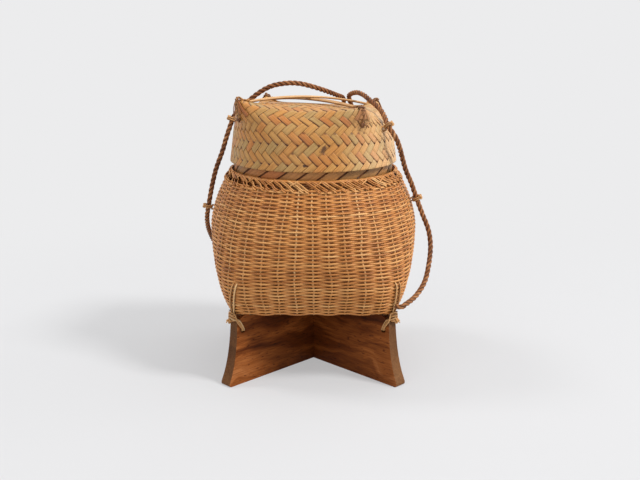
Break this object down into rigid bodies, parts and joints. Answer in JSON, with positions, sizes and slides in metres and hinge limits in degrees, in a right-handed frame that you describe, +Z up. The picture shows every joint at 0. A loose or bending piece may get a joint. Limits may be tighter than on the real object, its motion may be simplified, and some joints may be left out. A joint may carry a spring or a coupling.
{
  "type": "bamboo rice basket",
  "caption": "Double-walled woven bamboo basket, square below and round above, lashed to a crossed wooden foot, with a pinched-corner lift-off lid and a twisted carrying cord.",
  "frame": {"origin": "where the two foot boards cross, on the floor", "axes": "+Z up the basket's axis, -Y out of the front, +X to the right seen from the front"},
  "size_m": [0.2206, 0.1993, 0.2706],
  "materials": {
    "wicker": "satin",
    "bamboo": "satin",
    "lining_bamboo": "matte",
    "rattan": "satin",
    "dark_tie": "matte",
    "foot_wood": "satin",
    "twisted_cord": "matte"
  },
  "bodies": {
    "basket": {"foot_board_lower": "foot_wood", "foot_board_upper": "foot_wood", "outer_basket": "wicker", "inner_basket": "lining_bamboo", "rim_braid": "rattan", "corner_stake_back_right": "rattan", "corner_stake_back_left": "rattan", "corner_stake_front_left": "rattan", "corner_stake_front_right": "rattan", "foot_lashing_back_right": "rattan", "foot_lashing_back_left": "rattan", "foot_lashing_front_left": "rattan", "foot_lashing_front_right": "rattan", "shoulder_loop_left": "rattan", "shoulder_loop_right": "rattan", "cord_side_left": "twisted_cord", "cord_side_right": "twisted_cord"},
    "lid": {"lid_shell": "bamboo", "lid_lining": "lining_bamboo", "lid_tie_back_right": "dark_tie", "lid_tie_back_left": "dark_tie", "lid_tie_front_left": "dark_tie", "lid_tie_front_right": "dark_tie", "lid_splint_upper_a": "rattan", "lid_splint_upper_b": "rattan", "lid_splint_lower_a": "rattan", "lid_splint_lower_b": "rattan", "lid_loop_left": "rattan", "lid_loop_right": "rattan", "cord_over_lid": "twisted_cord"}
  },
  "joints": [
    {"name": "lid_lift", "type": "slide", "parent": "basket", "child": "lid", "axis": [0, 0, 1], "range_m": [0, 0.06]}
  ]
}
